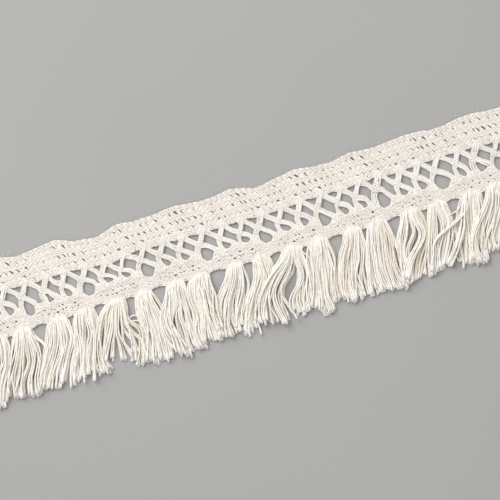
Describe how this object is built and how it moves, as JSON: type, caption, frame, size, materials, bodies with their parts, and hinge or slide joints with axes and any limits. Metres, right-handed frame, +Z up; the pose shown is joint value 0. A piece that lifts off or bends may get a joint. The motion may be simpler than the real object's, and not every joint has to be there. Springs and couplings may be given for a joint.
{
  "type": "fringed cotton lace trim",
  "caption": "Flat cotton lace trim with a close scalloped heading, a band of slanted openwork and a row of leaning tassels, cut to a short length for sewing on an edge.",
  "frame": {"origin": "bottom centre of the bounding box of the trim lying flat", "axes": "+X along the trim, +Y across it towards the heading edge, so the fringe points towards -Y, +Z up out of the upper face"},
  "size_m": [0.1578, 0.037, 0.0012],
  "materials": {
    "lace_cotton": "matt, slightly hairy cotton yarn",
    "fringe_cotton": "soft loose cotton threads"
  },
  "bodies": {
    "root": {"lace_band": "lace_cotton", "tassel_01": "fringe_cotton", "tassel_02": "fringe_cotton", "tassel_03": "fringe_cotton", "tassel_04": "fringe_cotton", "tassel_05": "fringe_cotton", "tassel_06": "fringe_cotton", "tassel_07": "fringe_cotton", "tassel_08": "fringe_cotton", "tassel_09": "fringe_cotton", "tassel_10": "fringe_cotton", "tassel_11": "fringe_cotton", "tassel_12": "fringe_cotton", "tassel_13": "fringe_cotton", "tassel_14": "fringe_cotton", "tassel_15": "fringe_cotton", "tassel_16": "fringe_cotton", "tassel_17": "fringe_cotton", "tassel_18": "fringe_cotton", "tassel_19": "fringe_cotton", "tassel_20": "fringe_cotton"}
  },
  "joints": []
}
